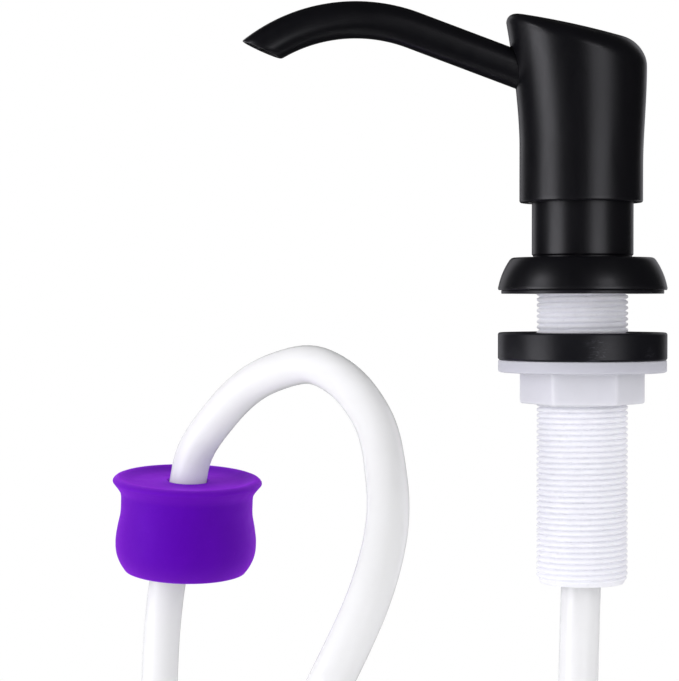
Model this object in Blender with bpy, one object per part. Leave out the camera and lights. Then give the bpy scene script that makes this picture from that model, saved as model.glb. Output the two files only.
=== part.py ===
"""Deck-mounted soap pump dispenser with a supply tube and the cap that joins it to a soap bottle.

Metres, +Z up. The origin is the middle of the deck hole at the countertop's upper face, and the
spout points to -X. The pump head stands over a guide collar, the threaded shank hangs through the
deck and carries a gasket and a lock nut, and the tube hangs from the pump and rises to the cap.
"""

import math

import bmesh
import bpy
from mathutils import Matrix, Vector

# Driving dimensions, in metres.
GAP = 0.0003  # between pieces that touch
LARGE_SIDES = 40  # facets round a large turned piece
SMALL_SIDES = 24  # facets round a small one
ROUNDING_STEPS = 2  # facets along a rounded edge

SEAL_THICKNESS = 0.0008
ESCUTCHEON_RADIUS = 0.0255
ESCUTCHEON_TOP = 0.0109
ESCUTCHEON_TOP_RADIUS = 0.0220
ESCUTCHEON_FLANK_ARC = 0.022  # radius of the flank's bulge
ESCUTCHEON_FLANK_BOTTOM = 0.0016
ESCUTCHEON_FLANK_TOP = 0.0104
ESCUTCHEON_BORE = 0.0132  # which takes the collar's foot

SHANK_RADIUS = 0.01375  # over the thread's crests
SHANK_BORE = 0.011
SHANK_TOP = 0.0076
SHANK_END = -0.0875
THREAD_PITCH = 0.00167
THREAD_DEPTH = 0.0009
THREAD_END_LAND = 0.0006  # plain length before the first thread
THREAD_SIDES = 20
CLEARANCE_BORE = SHANK_RADIUS + 0.00035  # through the pieces round the shank

GASKET_TOP = -0.0117
GASKET_THICKNESS = 0.0083
GASKET_RADIUS = 0.0255
GASKET_EDGE = 0.0008  # radius of its rounded edges
NUT_FLANGE_RADIUS = 0.0254
NUT_FLANGE_THICKNESS = 0.0034
NUT_ACROSS_CORNERS = 0.0381
NUT_END = -0.0332
NUT_TURNED_BY = math.radians(-4)

COLLAR_RADIUS = 0.0153
COLLAR_BORE = 0.0133
COLLAR_TOP = 0.039
COLLAR_LEDGE_BORE = 0.0096
COLLAR_LEDGE_TOP = 0.0130
COLLAR_BEAD = 0.0003  # how far the foot's bead stands out
COLLAR_BEAD_HEIGHT = 0.0008

BARREL_RADIUS = 0.0070
BARREL_BORE = 0.0058
VALVE_SEAT_TOP = -0.0430
INLET_RADIUS = 0.0038
INLET_BORE = 0.0020
INLET_END = -0.0600
INLET_LENGTH = 0.0100  # of the stub, to where it widens to the barrel
BARB_DEPTH = 0.0006
BARB_LENGTH = 0.0022
BARB_SPACING = 0.0030
HOUSING_FLANGE_BOTTOM = 0.0146
HOUSING_FLANGE_TOP = 0.0166
HOUSING_NECK_RADIUS = 0.0080
HOUSING_NECK_TOP = 0.0300
RETAINING_CAP_TOP = 0.0360
RETAINING_CAP_STEP = 0.0034  # from the housing's flange up to the wide part

STEM_RADIUS = 0.0032
STEM_BORE = 0.0018
STEM_BOTTOM = 0.0045
STEM_TOP = 0.0600
PISTON_RADIUS = 0.00545
PISTON_GROOVE_DEPTH = 0.0010
PISTON_BOTTOM = 0.0050
PISTON_TOP = 0.0130
PISTON_LIP = 0.0018  # height of each lip, above and below the groove
SPRING_SEAT_BOTTOM = 0.0020
SPRING_BOTTOM = -0.0381
SPRING_MEAN_RADIUS = 0.0046
SPRING_WIRE_RADIUS = 0.00045
SPRING_TURNS = 8.5
SEAT_RADIUS = 0.0053
SEAT_BORE = 0.0012
CAGE_RADIUS = 0.0054
CAGE_BORE = 0.0016
CAGE_THICKNESS = 0.0020
INLET_BALL_RADIUS = 0.0024
OUTLET_BALL_RADIUS = 0.0022

HEAD_BOTTOM = 0.0275
HEAD_HALF_WIDTH = 0.0185
HEAD_FRONT = 0.01905  # reach towards -X at the lower edge
HEAD_FRONT_FLARE = 0.0041
HEAD_FRONT_FLARE_FROM = 0.045  # the height where the front starts to flare
HEAD_FRONT_FLARE_OVER = 0.037
HEAD_FRONT_GROWTH = 1.6  # the larger, the nearer the top the flare is
HEAD_BACK = 0.0181
HEAD_BACK_FLARE = 0.0011
HEAD_BACK_FLARE_FROM = 0.038
HEAD_BACK_FLARE_OVER = 0.030
HEAD_TOP = 0.0804  # on the pump's axis
HEAD_TOP_SLOPE = -0.235
HEAD_CROWN_ALONG = 2.2  # how fast the top falls away, per metre
HEAD_CROWN_ACROSS = 12
HEAD_EDGE_FRONT = 0.0028  # radius of the top's rounded edge
HEAD_EDGE_BACK = 0.0066
HEAD_EDGE_GROWTH = 1.9  # the larger, the later it grows from front to back
HEAD_CAVITY_RADIUS = 0.0162
HEAD_CAVITY_TOP = 0.0562
HEAD_SOCKET_RADIUS = 0.0072
HEAD_SOCKET_TOP = 0.0695
ADAPTER_RADIUS = 0.0069
ADAPTER_BOTTOM = 0.0525
ADAPTER_CHAMBER_TOP = 0.0658  # of the outlet ball's chamber
SIDE_PORT_RADIUS = 0.0022

SPOUT_RADIUS = 0.0056
SPOUT_BORE = 0.0044
SPOUT_SLOPE = math.radians(20.6)
SPOUT_PEAK = Vector((-0.0686, 0, 0.08265))  # on the centreline
SPOUT_BEND = 0.0495
SPOUT_TIP_FALL = math.radians(35.2)
SPOUT_MOUTH_TILT = math.radians(24)  # of the cut, away from level
SPOUT_ROOT_X = -0.0093
LINER_RADIUS = 0.0040
LINER_BORE = 0.0030
LINER_RECESS = 0.003  # from the spout's tip back to the liner's

TUBE_RADIUS = 0.006
TUBE_POINT_SPACING = 0.024
TUBE_ROUTE = [
    (0.0000, 0.0000, INLET_END - GAP),
    (0.0000, 0.0000, -0.0780),
    (-0.0006, -0.0004, -0.1000),
    (-0.0012, -0.0008, -0.1250),
    (-0.0010, -0.0008, -0.1550),
    (-0.0002, -0.0002, -0.1850),
    (-0.0002, -0.0002, -0.2150),
    (-0.0030, -0.0020, -0.2450),
    (-0.0170, -0.0125, -0.2840),
    (-0.0600, -0.0450, -0.3100),
    (-0.1035, -0.0780, -0.2860),
    (-0.1200, -0.0915, -0.2460),
    (-0.1215, -0.0945, -0.2150),
    (-0.1165, -0.0945, -0.1850),
    (-0.1060, -0.0915, -0.1560),
    (-0.0902, -0.0868, -0.1290),
    (-0.0758, -0.0812, -0.1028),
    (-0.0653, -0.0710, -0.0813),
    (-0.0605, -0.0550, -0.0657),
    (-0.0603, -0.0340, -0.0510),
    (-0.0637, -0.0135, -0.0370),
    (-0.0741, 0.0060, -0.0251),
    (-0.0820, 0.0160, -0.0220),
    (-0.0923, 0.0265, -0.0241),
    (-0.1013, 0.0345, -0.0286),
    (-0.1125, 0.0435, -0.0395),
]
TUBE_DIP = [
    (-0.1316, 0.0552, -0.1060),
    (-0.1330, 0.0564, -0.1280),
    (-0.1332, 0.0570, -0.1550),
    (-0.1329, 0.0571, -0.1850),
    (-0.1325, 0.0571, -0.2150),
    (-0.1323, 0.0570, -0.2400),
]

CAP_CENTRE = Vector((-0.1232, 0.0500, -0.0613))  # of its widest rim
CAP_TILT = math.radians(6)  # towards the viewer
CAP_ROLL = math.radians(2)  # its right side down
CAP_HOLE_RADIUS = 0.00685
CAP_HOLE_DEPTH = 0.0008  # from the widest rim down to the middle of the web
CAP_TUBE_DIRECTION = Vector((-0.21, 0.12, -0.97)).normalized()
CAP_OUTLINE = [
    (0.0194, 0.0004),
    (0.0212, 0.0012),
    (0.0225, 0.0016),
    (0.0238, 0.0011),
    (0.02435, 0.0000),
    (0.0233, -0.0018),
    (0.0215, -0.0041),
    (0.0216, -0.0105),
    (0.0225, -0.0150),
    (0.0230, -0.0195),
    (0.0226, -0.0240),
    (0.0211, -0.0275),
    (0.0197, -0.0295),
    (0.0183, -0.0295),
    (0.0205, -0.0240),
    (0.0207, -0.0195),
    (0.0196, -0.0105),
    (0.0195, -0.0020),
]


def clear_scene():
    for old in list(bpy.data.objects):
        bpy.data.objects.remove(old, do_unlink=True)


def new_material(name, colour, roughness, metallic=0.0, alpha=1.0):
    material = bpy.data.materials.new(name)
    material.use_nodes = True
    material.diffuse_color = (*colour, alpha)
    shader = material.node_tree.nodes["Principled BSDF"]
    shader.inputs["Base Color"].default_value = (*colour, 1.0)
    shader.inputs["Roughness"].default_value = roughness
    shader.inputs["Metallic"].default_value = metallic
    shader.inputs["Alpha"].default_value = alpha
    return material


def new_empty(name, location, parent=None):
    empty = bpy.data.objects.new(name, None)
    bpy.context.scene.collection.objects.link(empty)
    empty.location = location
    empty.parent = parent
    return empty


def new_object(name, data, material, parent=None):
    """Links an object whose data is in the scene's axes, under a parent that may be elsewhere."""
    data.materials.append(material)
    thing = bpy.data.objects.new(name, data)
    bpy.context.scene.collection.objects.link(thing)
    if parent:
        bpy.context.view_layer.update()
        thing.parent = parent
        thing.matrix_parent_inverse = parent.matrix_world.inverted()
    return thing


def swung(first, last, part):
    """The vector that has turned part of the way from first to last, which are equally long."""
    whole = first.angle(last)
    return (first * math.sin((1 - part) * whole) + last * math.sin(part * whole)) / math.sin(whole)


def rounded(corners, steps=ROUNDING_STEPS):
    """The outline through corners (r, z) or (r, z, fillet), with an arc wherever there is a fillet."""
    outline = []
    for index, (r, z, *fillet) in enumerate(corners):
        corner = Vector((r, z))
        if not fillet:
            outline.append(corner)
            continue
        back = (Vector(corners[index - 1][:2]) - corner).normalized()
        ahead = (Vector(corners[(index + 1) % len(corners)][:2]) - corner).normalized()
        half = back.angle(ahead) / 2
        centre = corner + (back + ahead).normalized() * fillet[0] / math.sin(half)
        first = corner + back * fillet[0] / math.tan(half) - centre
        last = corner + ahead * fillet[0] / math.tan(half) - centre
        for step in range(steps + 1):
            outline.append(centre + swung(first, last, step / steps))
    return outline


def arc(start, end, radius, steps):
    """Points of an arc from start to end that bulges to the right of the way it runs."""
    start, end = Vector(start), Vector(end)
    chord = end - start
    side = Vector((-chord.y, chord.x)).normalized()
    centre = (start + end) / 2 + side * math.sqrt(radius**2 - (chord.length / 2) ** 2)
    return [centre + swung(start - centre, end - centre, step / steps) for step in range(steps + 1)]


def ring(radius, z, sides):
    turns = [math.tau * side / sides for side in range(sides)]
    return [Vector((radius * math.cos(turn), radius * math.sin(turn), z)) for turn in turns]


def loft(name, rings, closed=False):
    """A closed mesh through rings of equally many points. A ring of one point ends it in a pole."""
    shape = bmesh.new()
    rows = [[shape.verts.new(point) for point in points] for points in rings]
    spans = list(zip(rows, rows[1:]))
    if closed:
        spans.append((rows[-1], rows[0]))
    for lower, upper in spans:
        sides = max(len(lower), len(upper))
        for side in range(sides):
            after = (side + 1) % sides
            corners = [lower[side % len(lower)], lower[after % len(lower)]]
            corners += [upper[after % len(upper)], upper[side % len(upper)]]
            shape.faces.new(dict.fromkeys(corners))
    if not closed:
        for row in (rows[0], rows[-1]):
            if len(row) > 1:
                shape.faces.new(row)
    bmesh.ops.recalc_face_normals(shape, faces=shape.faces)
    return finished(name, shape)


def finished(name, shape):
    mesh = bpy.data.meshes.new(name)
    shape.to_mesh(mesh)
    shape.free()
    mesh.shade_smooth()
    mesh.set_sharp_from_angle(angle=math.radians(35))
    return mesh


def turned(name, outline, material, sides=LARGE_SIDES, parent=None):
    """A turned piece. Its outline (r, z) is a loop, or runs from pole to pole where r is 0."""
    rings = [ring(r, z, sides) if r else [Vector((0, 0, z))] for r, z in outline]
    return new_object(name, loft(name, rings, closed=bool(outline[0][0])), material, parent)


def flat_ring(name, inner, outer, bottom, top, material, sides=LARGE_SIDES, parent=None):
    outline = [(inner, bottom), (outer, bottom), (outer, top), (inner, top)]
    turned(name, outline, material, sides, parent)


def smooth_curve(points, spacing):
    """Evenly spaced points of the smooth curve through the given ones."""
    points = [Vector(point) for point in points]
    lengths = [(after - before).length for before, after in zip(points, points[1:])]
    slopes = [(points[1] - points[0]) / lengths[0]]
    for index in range(1, len(points) - 1):
        before = (points[index] - points[index - 1]) / lengths[index - 1]
        after = (points[index + 1] - points[index]) / lengths[index]
        weight = lengths[index - 1] / (lengths[index - 1] + lengths[index])
        slopes.append(before.lerp(after, weight))
    slopes.append((points[-1] - points[-2]) / lengths[-1])
    fine = []
    steps = 24
    for index, length in enumerate(lengths):
        for step in range(steps):
            t = step / steps
            fine.append(
                points[index] * (2 * t**3 - 3 * t**2 + 1)
                + slopes[index] * length * (t**3 - 2 * t**2 + t)
                + points[index + 1] * (3 * t**2 - 2 * t**3)
                + slopes[index + 1] * length * (t**3 - t**2)
            )
    fine.append(points[-1])
    total = sum((after - before).length for before, after in zip(fine, fine[1:]))
    count = round(total / spacing)
    even = [fine[0]]
    travelled = 0.0
    for before, after in zip(fine, fine[1:]):
        step = (after - before).length
        while len(even) < count and travelled + step >= total * len(even) / count:
            part = (total * len(even) / count - travelled) / step
            even.append(before.lerp(after, part))
        travelled += step
    return even + [fine[-1]]


def wire(name, points, radius, bevel_resolution, material, parent=None):
    """A round bar along the points, with filled ends."""
    curve = bpy.data.curves.new(name, "CURVE")
    curve.dimensions = "3D"
    curve.bevel_depth = radius
    curve.bevel_resolution = bevel_resolution
    curve.use_fill_caps = True
    spline = curve.splines.new("POLY")
    spline.points.add(len(points) - 1)
    for point, place in zip(spline.points, points):
        point.co = (*place, 1)
    return new_object(name, curve, material, parent)


def ball(name, radius, centre, material, parent=None):
    shape = bmesh.new()
    bmesh.ops.create_icosphere(shape, subdivisions=3, radius=radius)
    bmesh.ops.translate(shape, verts=shape.verts, vec=centre)
    return new_object(name, finished(name, shape), material, parent)


def cut_with(thing, cutter):
    cutter.hide_render = True
    cutter.display_type = "WIRE"
    cut = thing.modifiers.new(cutter.name, "BOOLEAN")
    cut.operation = "DIFFERENCE"
    cut.object = cutter


# The deck fitting: escutcheon, seal, shank, gasket and lock nut.


def make_escutcheon(material):
    shoulder = SHANK_TOP + GAP
    underside = SEAL_THICKNESS + GAP
    foot = (ESCUTCHEON_RADIUS, ESCUTCHEON_FLANK_BOTTOM)
    brow = (ESCUTCHEON_TOP_RADIUS, ESCUTCHEON_FLANK_TOP)
    outline = [
        (CLEARANCE_BORE, underside),
        (ESCUTCHEON_RADIUS - 0.0003, underside),
        *arc(foot, brow, ESCUTCHEON_FLANK_ARC, 4),
        (ESCUTCHEON_TOP_RADIUS - 0.0008, ESCUTCHEON_TOP),
        (ESCUTCHEON_BORE, ESCUTCHEON_TOP),
        (ESCUTCHEON_BORE, shoulder),
        (CLEARANCE_BORE, shoulder),
    ]
    turned("escutcheon", outline, material)


def make_deck_seal(material):
    flat_ring("deck_seal", CLEARANCE_BORE + 0.0009, ESCUTCHEON_RADIUS - 0.001, 0, SEAL_THICKNESS, material)


def make_threaded_shank(material):
    """The thread is one strip of flanks. Each row is a ring that climbs one pitch in a turn, so a
    ring's end meets the start of the ring two rows up, a whole thread higher."""
    name = "threaded_shank"
    root = SHANK_RADIUS - THREAD_DEPTH
    threads = int((SHANK_TOP - SHANK_END - 2 * THREAD_END_LAND) / THREAD_PITCH) - 1
    first = SHANK_END + THREAD_END_LAND
    shape = bmesh.new()

    def plain_ring(radius, z):
        return [shape.verts.new(point) for point in ring(radius, z, THREAD_SIDES)]

    rows = []
    for half_turn in range(2 * threads + 1):
        radius = SHANK_RADIUS if half_turn % 2 else root
        row = ring(radius, first + THREAD_PITCH * half_turn / 2, THREAD_SIDES)
        for side, point in enumerate(row):
            point.z += THREAD_PITCH * side / THREAD_SIDES
        rows.append([shape.verts.new(point) for point in row])
    for lower, upper in zip(rows, rows[1:]):
        for side in range(THREAD_SIDES - 1):
            shape.faces.new((lower[side], lower[side + 1], upper[side + 1], upper[side]))
    for lower, upper, above, next_above in zip(rows, rows[1:], rows[2:], rows[3:]):
        shape.faces.new((lower[-1], above[0], next_above[0], upper[-1]))
    bottom, top = plain_ring(root, SHANK_END), plain_ring(root, SHANK_TOP)
    inner_bottom, inner_top = plain_ring(SHANK_BORE, SHANK_END), plain_ring(SHANK_BORE, SHANK_TOP)
    for side in range(THREAD_SIDES - 1):
        shape.faces.new((bottom[side], bottom[side + 1], rows[0][side + 1], rows[0][side]))
        shape.faces.new((rows[-1][side], rows[-1][side + 1], top[side + 1], top[side]))
    shape.faces.new((bottom[-1], bottom[0], rows[0][0], rows[1][0], rows[2][0], rows[0][-1]))
    shape.faces.new((top[0], top[-1], rows[-1][-1], rows[-2][-1], rows[-3][-1], rows[-1][0]))
    for side in range(THREAD_SIDES):
        after = (side + 1) % THREAD_SIDES
        shape.faces.new((bottom[after], bottom[side], inner_bottom[side], inner_bottom[after]))
        shape.faces.new((inner_bottom[after], inner_bottom[side], inner_top[side], inner_top[after]))
        shape.faces.new((top[side], top[after], inner_top[after], inner_top[side]))
    bmesh.ops.recalc_face_normals(shape, faces=shape.faces)
    new_object(name, finished(name, shape), material)


def make_under_gasket(material, parent):
    bottom = GASKET_TOP - GASKET_THICKNESS
    corners = [
        (CLEARANCE_BORE, GASKET_TOP),
        (CLEARANCE_BORE, bottom),
        (GASKET_RADIUS, bottom, GASKET_EDGE),
        (GASKET_RADIUS, GASKET_TOP, GASKET_EDGE),
    ]
    turned("under_gasket", rounded(corners), material, parent=parent)


def make_lock_nut(material, parent):
    """A round flange and a hexagon under it, lofted as one piece."""
    sides = 36
    top = GASKET_TOP - GASKET_THICKNESS - GAP
    flange_bottom = top - NUT_FLANGE_THICKNESS
    flat = NUT_ACROSS_CORNERS / 2 * math.cos(math.pi / 6)

    def hexagon(across_corners, z):
        points = []
        for point in ring(1, z, sides):
            from_flat = (math.atan2(point.y, point.x) % (math.pi / 3)) - math.pi / 6
            reach = across_corners / 2 * math.cos(math.pi / 6) / math.cos(from_flat)
            points.append(Vector((point.x * reach, point.y * reach, z)))
        return points

    rings = [
        ring(CLEARANCE_BORE, top, sides),
        ring(NUT_FLANGE_RADIUS - 0.0004, top, sides),
        ring(NUT_FLANGE_RADIUS, top - 0.0004, sides),
        ring(NUT_FLANGE_RADIUS, flange_bottom + 0.0006, sides),
        ring(NUT_FLANGE_RADIUS - 0.0006, flange_bottom, sides),
        hexagon(NUT_ACROSS_CORNERS, flange_bottom),
        hexagon(NUT_ACROSS_CORNERS, NUT_END + 0.0004),
        hexagon(NUT_ACROSS_CORNERS - 0.0008, NUT_END),
        ring(flat - 0.0016, NUT_END, sides),
        ring(CLEARANCE_BORE, NUT_END, sides),
    ]
    nut = new_object("lock_nut", loft("lock_nut", rings, closed=True), material, parent)
    nut.data.transform(Matrix.Rotation(NUT_TURNED_BY, 4, "Z"))


# The pump: collar, housing and everything in it.


def make_guide_collar(material):
    bottom = SHANK_TOP + 2 * GAP
    bead_bottom = ESCUTCHEON_TOP + GAP
    bead_top = bead_bottom + COLLAR_BEAD_HEIGHT
    corners = [
        (COLLAR_LEDGE_BORE, bottom),
        (ESCUTCHEON_BORE - GAP, bottom),
        (ESCUTCHEON_BORE - GAP, bead_bottom),
        (COLLAR_RADIUS + COLLAR_BEAD, bead_bottom),
        (COLLAR_RADIUS + COLLAR_BEAD, bead_top),
        (COLLAR_RADIUS, bead_top + COLLAR_BEAD),
        (COLLAR_RADIUS, COLLAR_TOP, 0.0006),
        (COLLAR_BORE, COLLAR_TOP, 0.0004),
        (COLLAR_BORE, COLLAR_LEDGE_TOP),
        (COLLAR_LEDGE_BORE, COLLAR_LEDGE_TOP),
    ]
    turned("guide_collar", rounded(corners), material)


def make_pump_housing(material):
    """The stub has two barbs that hold the tube."""
    cone = BARREL_BORE - INLET_BORE
    barb_root = INLET_RADIUS - BARB_DEPTH
    outline = [
        (INLET_BORE, INLET_END),
        (barb_root, INLET_END),
        (INLET_RADIUS, INLET_END + BARB_LENGTH),
        (barb_root, INLET_END + BARB_SPACING),
        (INLET_RADIUS, INLET_END + BARB_SPACING + BARB_LENGTH),
        (barb_root, INLET_END + 2 * BARB_SPACING),
        (barb_root, INLET_END + INLET_LENGTH),
        (BARREL_RADIUS, INLET_END + INLET_LENGTH + 0.003),
        (BARREL_RADIUS, HOUSING_FLANGE_BOTTOM),
        (COLLAR_BORE - GAP, HOUSING_FLANGE_BOTTOM),
        (COLLAR_BORE - GAP, HOUSING_FLANGE_TOP),
        (HOUSING_NECK_RADIUS, HOUSING_FLANGE_TOP),
        (HOUSING_NECK_RADIUS, HOUSING_NECK_TOP),
        (BARREL_BORE, HOUSING_NECK_TOP),
        (BARREL_BORE, VALVE_SEAT_TOP),
        (INLET_BORE, VALVE_SEAT_TOP - cone),
    ]
    turned("pump_housing", outline, material, SMALL_SIDES)


def make_housing_gasket(material):
    inner, outer = COLLAR_LEDGE_BORE + GAP, COLLAR_BORE - 0.0004
    bottom, top = COLLAR_LEDGE_TOP + GAP, HOUSING_FLANGE_BOTTOM - GAP
    flat_ring("housing_gasket", inner, outer, bottom, top, material, SMALL_SIDES)


def make_retaining_cap(material):
    inside_top = HOUSING_NECK_TOP + 0.0004
    bottom = HOUSING_FLANGE_TOP + RETAINING_CAP_STEP
    stem_hole = STEM_RADIUS + 0.00035
    corners = [
        (stem_hole, inside_top),
        (HOUSING_NECK_RADIUS + GAP, inside_top),
        (HOUSING_NECK_RADIUS + GAP, bottom),
        (COLLAR_BORE - GAP, bottom),
        (COLLAR_BORE - GAP, RETAINING_CAP_TOP, 0.0008),
        (stem_hole, RETAINING_CAP_TOP),
    ]
    turned("retaining_cap", rounded(corners), material, SMALL_SIDES)


def make_ball_cage(material):
    top = SPRING_BOTTOM - GAP
    flat_ring("ball_cage", CAGE_BORE, CAGE_RADIUS, top - CAGE_THICKNESS, top, material, SMALL_SIDES)


def resting_height(ball_radius, seat_radius):
    """How far a ball's centre is above the round edge that it rests on."""
    return math.sqrt((ball_radius + GAP) ** 2 - seat_radius**2)


def make_valve_balls(material, inlet_parent, outlet_parent):
    inlet_edge = VALVE_SEAT_TOP - (BARREL_BORE - INLET_BORE)
    inlet = inlet_edge + resting_height(INLET_BALL_RADIUS, INLET_BORE)
    outlet = STEM_TOP + resting_height(OUTLET_BALL_RADIUS, STEM_BORE)
    ball("inlet_ball", INLET_BALL_RADIUS, (0, 0, inlet), material, inlet_parent)
    ball("outlet_ball", OUTLET_BALL_RADIUS, (0, 0, outlet), material, outlet_parent)


def make_return_spring(material):
    lower = SPRING_BOTTOM + SPRING_WIRE_RADIUS
    upper = SPRING_SEAT_BOTTOM - GAP - SPRING_WIRE_RADIUS
    points = []
    per_turn = 12
    count = round(SPRING_TURNS * per_turn)
    for index in range(count + 1):
        turn = math.tau * index / per_turn
        height = lower + (upper - lower) * index / count
        points.append((SPRING_MEAN_RADIUS * math.cos(turn), SPRING_MEAN_RADIUS * math.sin(turn), height))
    wire("return_spring", points, SPRING_WIRE_RADIUS, 0, material)


def make_plunger(plastic, rubber, parent):
    flat_ring("pump_stem", STEM_BORE, STEM_RADIUS, STEM_BOTTOM, STEM_TOP, plastic, SMALL_SIDES, parent)
    inner = STEM_RADIUS + GAP
    groove = PISTON_RADIUS - PISTON_GROOVE_DEPTH
    piston = [
        (inner, PISTON_BOTTOM),
        (PISTON_RADIUS, PISTON_BOTTOM),
        (PISTON_RADIUS, PISTON_BOTTOM + PISTON_LIP),
        (groove, PISTON_BOTTOM + PISTON_LIP + PISTON_GROOVE_DEPTH),
        (groove, PISTON_TOP - PISTON_LIP - PISTON_GROOVE_DEPTH),
        (PISTON_RADIUS, PISTON_TOP - PISTON_LIP),
        (PISTON_RADIUS, PISTON_TOP),
        (inner, PISTON_TOP),
    ]
    turned("piston", piston, rubber, SMALL_SIDES, parent)
    seat_top = STEM_BOTTOM - GAP
    flat_ring(
        "spring_seat", SEAT_BORE, SEAT_RADIUS, SPRING_SEAT_BOTTOM, seat_top, plastic, SMALL_SIDES, parent
    )


# The head: shell, spout, liner and the adapter that joins them to the stem.


def head_wall(turn, z):
    """The point of the head's wall at a height, in the direction of a turn from the back."""
    rise = max(0.0, (z - HEAD_FRONT_FLARE_FROM) / HEAD_FRONT_FLARE_OVER)
    front = HEAD_FRONT + HEAD_FRONT_FLARE * rise**HEAD_FRONT_GROWTH
    lift = min(1.0, max(0.0, (z - HEAD_BACK_FLARE_FROM) / HEAD_BACK_FLARE_OVER))
    back = HEAD_BACK + HEAD_BACK_FLARE * lift * lift * (3 - 2 * lift)
    x = (back - front) / 2 + (back + front) / 2 * math.cos(turn)
    return Vector((x, HEAD_HALF_WIDTH * math.sin(turn), z))


def head_top(x, y):
    return HEAD_TOP + HEAD_TOP_SLOPE * x - HEAD_CROWN_ALONG * x**2 - HEAD_CROWN_ACROSS * y**2


def make_head_shell(material, parent):
    """Rings run from the socket's roof down the inside, out under the rim, up the wall and over the
    rounded edge to the middle of the top."""
    sides = LARGE_SIDES
    turns = [math.tau * side / sides for side in range(sides)]
    rings = [
        [Vector((0, 0, HEAD_SOCKET_TOP))],
        ring(HEAD_SOCKET_RADIUS, HEAD_SOCKET_TOP, sides),
        ring(HEAD_SOCKET_RADIUS, HEAD_CAVITY_TOP, sides),
        ring(HEAD_CAVITY_RADIUS, HEAD_CAVITY_TOP, sides),
        ring(HEAD_CAVITY_RADIUS, HEAD_BOTTOM, sides),
    ]
    rim = [head_wall(turn, HEAD_BOTTOM) for turn in turns]
    rings.append([Vector((point.x * 0.97, point.y * 0.97, HEAD_BOTTOM)) for point in rim])
    edge = []
    for turn in turns:
        grown = ((1 + math.cos(turn)) / 2) ** HEAD_EDGE_GROWTH
        radius = HEAD_EDGE_FRONT + (HEAD_EDGE_BACK - HEAD_EDGE_FRONT) * grown
        wall_end = head_wall(turn, HEAD_TOP)
        for _ in range(4):
            wall_end = head_wall(turn, head_top(wall_end.x, wall_end.y) - radius)
        edge.append((turn, radius, wall_end))
    wall_rows = 6
    for row in range(wall_rows + 1):
        part = row / wall_rows
        low = HEAD_BOTTOM + 0.0006
        rings.append([head_wall(turn, low + (end.z - low) * part) for turn, _, end in edge])
    edge_steps = 3
    for step in range(1, edge_steps + 1):
        bend = math.pi / 2 * step / edge_steps
        points = []
        for _, radius, end in edge:
            inward = 1 - radius * (1 - math.cos(bend)) / math.hypot(end.x, end.y)
            x, y = end.x * inward, end.y * inward
            points.append(Vector((x, y, head_top(x, y) - radius * (1 - math.sin(bend)))))
        rings.append(points)
    brim = rings[-1]
    for inward in (0.7, 0.35):
        inner = [(point.x * inward, point.y * inward) for point in brim]
        rings.append([Vector((x, y, head_top(x, y))) for x, y in inner])
    rings.append([Vector((0, 0, head_top(0, 0)))])
    shell = new_object("head_shell", loft("head_shell", rings), material, parent)
    cut_with(shell, spout_axis_bar("spout_hole_cutter", SPOUT_RADIUS + GAP, -0.004, -0.032, parent))


def spout_axis_bar(name, radius, from_x, to_x, parent):
    """A round bar along the straight part of the spout's centreline, which is used as a cutter."""
    cutter = loft(name, [spout_ring(x, radius) for x in (from_x, to_x)])
    return new_object(name, cutter, bpy.data.materials["black_satin"], parent)


def spout_ring(x, radius, sides=16):
    """A ring square to the straight part of the centreline, where that passes x."""
    start = spout_bend_start()
    along = Vector((-math.cos(SPOUT_SLOPE), 0, math.sin(SPOUT_SLOPE)))
    middle = start + along * (start.x - x) / math.cos(SPOUT_SLOPE)
    return ring_across(middle, along, radius, sides)


def ring_across(middle, along, radius, sides):
    up = Vector((0, 1, 0)).cross(along)
    points = []
    for side in range(sides):
        turn = math.tau * side / sides
        points.append(middle + Vector((0, 1, 0)) * radius * math.cos(turn) + up * radius * math.sin(turn))
    return points


def spout_bend_start():
    centre = SPOUT_PEAK - Vector((0, 0, SPOUT_BEND))
    return centre + SPOUT_BEND * Vector((math.sin(SPOUT_SLOPE), 0, math.cos(SPOUT_SLOPE)))


def spout_rings(radius, sides, back_from_tip):
    """Rings from the spout's root to its tip. The last lies in the slanting plane of the mouth."""
    rings = [spout_ring(SPOUT_ROOT_X, radius, sides)]
    centre = SPOUT_PEAK - Vector((0, 0, SPOUT_BEND))
    bend_steps = 9
    whole_bend = SPOUT_SLOPE + SPOUT_TIP_FALL - back_from_tip / SPOUT_BEND
    for step in range(bend_steps + 1):
        turn = SPOUT_SLOPE - whole_bend * step / bend_steps
        out = Vector((math.sin(turn), 0, math.cos(turn)))
        along = Vector((-math.cos(turn), 0, math.sin(turn)))
        rings.append(ring_across(centre + out * SPOUT_BEND, along, radius, sides))
    mouth_normal = Vector((-math.sin(SPOUT_MOUTH_TILT), 0, -math.cos(SPOUT_MOUTH_TILT)))
    middle = centre + out * SPOUT_BEND
    rings[-1] = [
        point - along * (point - middle).dot(mouth_normal) / along.dot(mouth_normal) for point in rings[-1]
    ]
    return rings


def make_spout(metal, plastic, parent):
    sides = 16
    rings = spout_rings(SPOUT_RADIUS, sides, 0) + spout_rings(SPOUT_BORE, sides, 0)[::-1]
    new_object("spout_tube", loft("spout_tube", rings, closed=True), metal, parent)
    sides = 12
    rings = spout_rings(LINER_RADIUS, sides, LINER_RECESS)
    rings += spout_rings(LINER_BORE, sides, LINER_RECESS)[::-1]
    new_object("spout_liner", loft("spout_liner", rings, closed=True), plastic, parent)


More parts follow.
